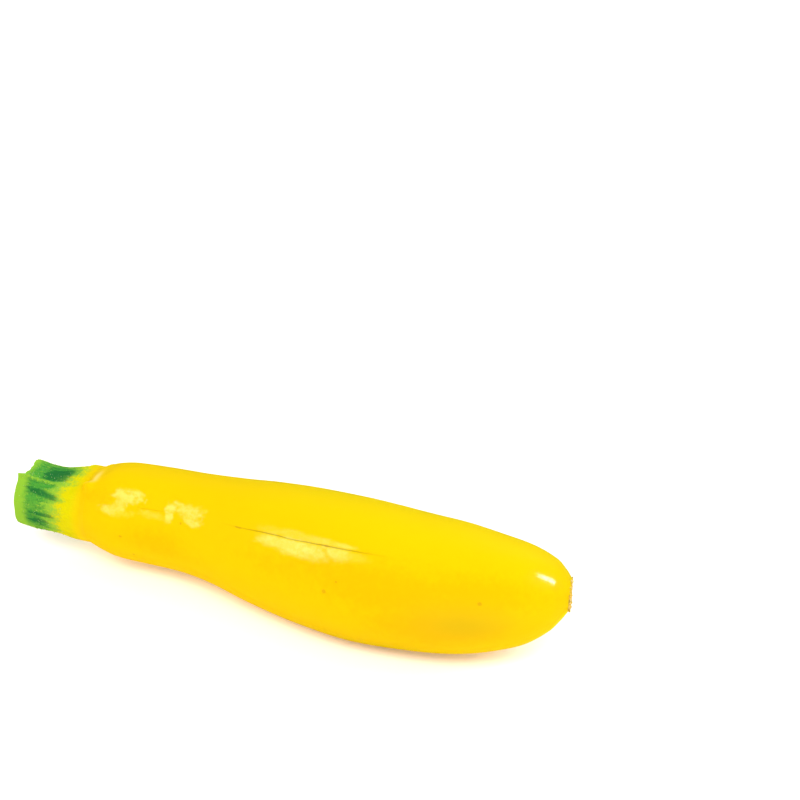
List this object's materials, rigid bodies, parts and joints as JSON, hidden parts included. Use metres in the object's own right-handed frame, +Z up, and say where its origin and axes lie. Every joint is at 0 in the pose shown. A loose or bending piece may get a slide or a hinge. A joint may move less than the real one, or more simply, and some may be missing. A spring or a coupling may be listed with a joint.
{
  "type": "yellow summer squash",
  "caption": "Long glossy yellow summer squash lying on its belly, with a narrow neck, a cut ridged green stem and a corky blossom scar.",
  "frame": {"origin": "middle of the outer box, on the surface that the squash rests on", "axes": "+X along the squash from the cut stem to the blossom end, +Y across it, +Z up"},
  "size_m": [0.177, 0.044, 0.0412],
  "materials": {
    "fruit_skin": "gloss",
    "stem_green": "satin",
    "scar_cork": "matte"
  },
  "bodies": {
    "root": {"fruit": "fruit_skin", "stem": "stem_green", "blossom_scar": "scar_cork"}
  },
  "joints": []
}
